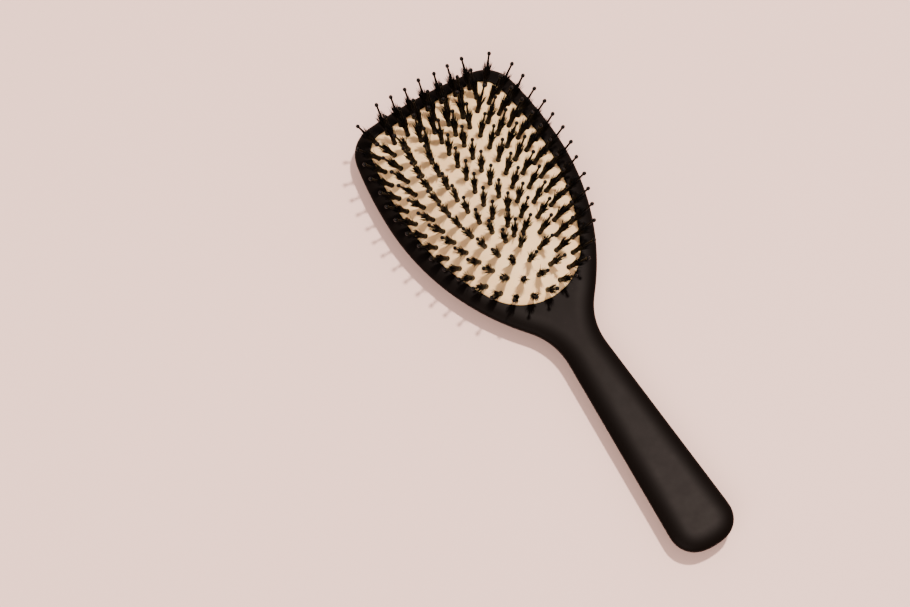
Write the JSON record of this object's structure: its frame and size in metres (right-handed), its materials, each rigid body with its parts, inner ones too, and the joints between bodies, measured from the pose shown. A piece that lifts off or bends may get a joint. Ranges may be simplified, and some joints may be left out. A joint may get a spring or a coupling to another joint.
{
  "type": "paddle hair brush",
  "caption": "Flat paddle hair brush: moulded black handle and head, domed rubber cushion and rings of bristle tufts with ball-tipped pins.",
  "frame": {"origin": "under the middle of the brush, on the plane its back rests on", "axes": "+Y from the handle to the head, +Z out of the bristles, +X across"},
  "size_m": [0.0898, 0.2503, 0.0381],
  "materials": {
    "soft_touch_black": "soft-touch matte",
    "carrier_plastic": "plain moulded",
    "latex_cushion": "matte natural latex",
    "quill_nylon": "satin",
    "bristle": "dark natural bristle",
    "pin_nylon": "satin"
  },
  "bodies": {
    "handle": {"front_shell": "soft_touch_black", "back_shell": "soft_touch_black", "carrier_plate": "carrier_plastic", "cushion_pad": "latex_cushion"},
    "tufts_a": {"quills_ring_a": "quill_nylon", "bristles_ring_a": "bristle", "pins_ring_a": "pin_nylon"},
    "tufts_b": {"quills_ring_b": "quill_nylon", "bristles_ring_b": "bristle", "pins_ring_b": "pin_nylon"},
    "tufts_c": {"quills_ring_c": "quill_nylon", "bristles_ring_c": "bristle", "pins_ring_c": "pin_nylon"},
    "tufts_d": {"quills_ring_d": "quill_nylon", "bristles_ring_d": "bristle", "pins_ring_d": "pin_nylon"},
    "tufts_e": {"quills_ring_e": "quill_nylon", "bristles_ring_e": "bristle", "pins_ring_e": "pin_nylon"}
  },
  "joints": [
    {"name": "cushion_press", "type": "slide", "parent": "handle", "child": "tufts_e", "axis": [0, 0, -1], "range_m": [0, 0.0034], "stiffness_N_per_m": 800, "deforming": ["cushion_pad"]},
    {"name": "cushion_press_d", "type": "slide", "parent": "handle", "child": "tufts_d", "axis": [0, 0, -1], "range_m": [0, 0.00307]},
    {"name": "cushion_press_c", "type": "slide", "parent": "handle", "child": "tufts_c", "axis": [0, 0, -1], "range_m": [0, 0.0025]},
    {"name": "cushion_press_b", "type": "slide", "parent": "handle", "child": "tufts_b", "axis": [0, 0, -1], "range_m": [0, 0.00168]},
    {"name": "cushion_press_a", "type": "slide", "parent": "handle", "child": "tufts_a", "axis": [0, 0, -1], "range_m": [0, 0.00058]}
  ],
  "couplings": [
    {"joint": "cushion_press_d", "follows": "cushion_press", "ratio": 0.897},
    {"joint": "cushion_press_c", "follows": "cushion_press", "ratio": 0.729},
    {"joint": "cushion_press_b", "follows": "cushion_press", "ratio": 0.487},
    {"joint": "cushion_press_a", "follows": "cushion_press", "ratio": 0.166}
  ]
}
